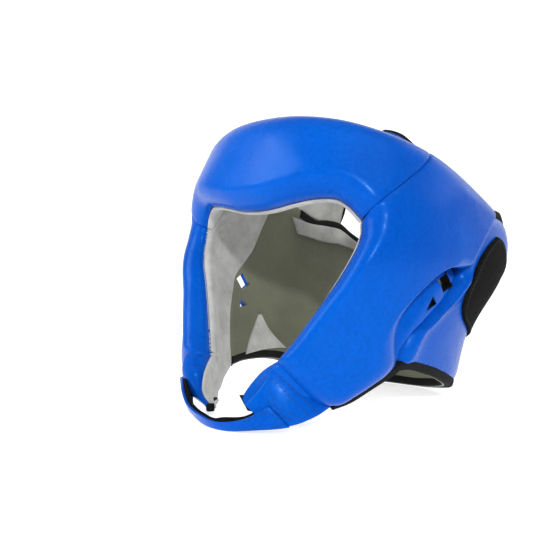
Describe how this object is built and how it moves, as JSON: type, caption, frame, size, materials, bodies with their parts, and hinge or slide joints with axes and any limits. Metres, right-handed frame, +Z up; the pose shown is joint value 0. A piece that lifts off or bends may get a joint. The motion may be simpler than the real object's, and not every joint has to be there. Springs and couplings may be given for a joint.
{
  "type": "boxing headgear",
  "caption": "Open-face padded boxing headgear in glossy vinyl with suede lining, ear vents, open crown lobes, rear loop patch and a strap across the chin.",
  "frame": {"origin": "centre of the bounding box at its base, on the surface that it stands on", "axes": "+Z up, the face opening looks to -Y, +X to the wearer's left"},
  "size_m": [0.224, 0.2874, 0.2083],
  "materials": {
    "vinyl": "glossy smooth blue vinyl over foam",
    "suede": "soft light grey suede",
    "smooth_lining": "smooth olive-grey lining",
    "textile": "black woven edge binding",
    "loops": "black hook and loop pile"
  },
  "bodies": {
    "root": {"forehead_pad": "vinyl", "forehead_lining": "suede", "side_pad_left": "vinyl", "side_pad_right": "vinyl", "cheek_lining_left": "suede", "cheek_lining_right": "suede", "cheek_hem_left": "textile", "cheek_hem_right": "textile", "ear_panel_left": "vinyl", "ear_panel_right": "vinyl", "rear_panel_left": "vinyl", "rear_panel_right": "vinyl", "rear_lining": "smooth_lining", "rear_hem": "textile", "rear_top_binding": "textile", "loop_patch": "loops", "closure_flap": "vinyl", "crown_flap_left": "vinyl", "crown_flap_right": "vinyl", "crown_binding_left": "textile", "crown_binding_right": "textile", "chin_flap_left": "vinyl", "chin_flap_right": "vinyl", "chin_flap_edge_left": "textile", "chin_flap_edge_right": "textile", "chin_strap": "vinyl", "strap_tape": "loops"}
  },
  "joints": []
}
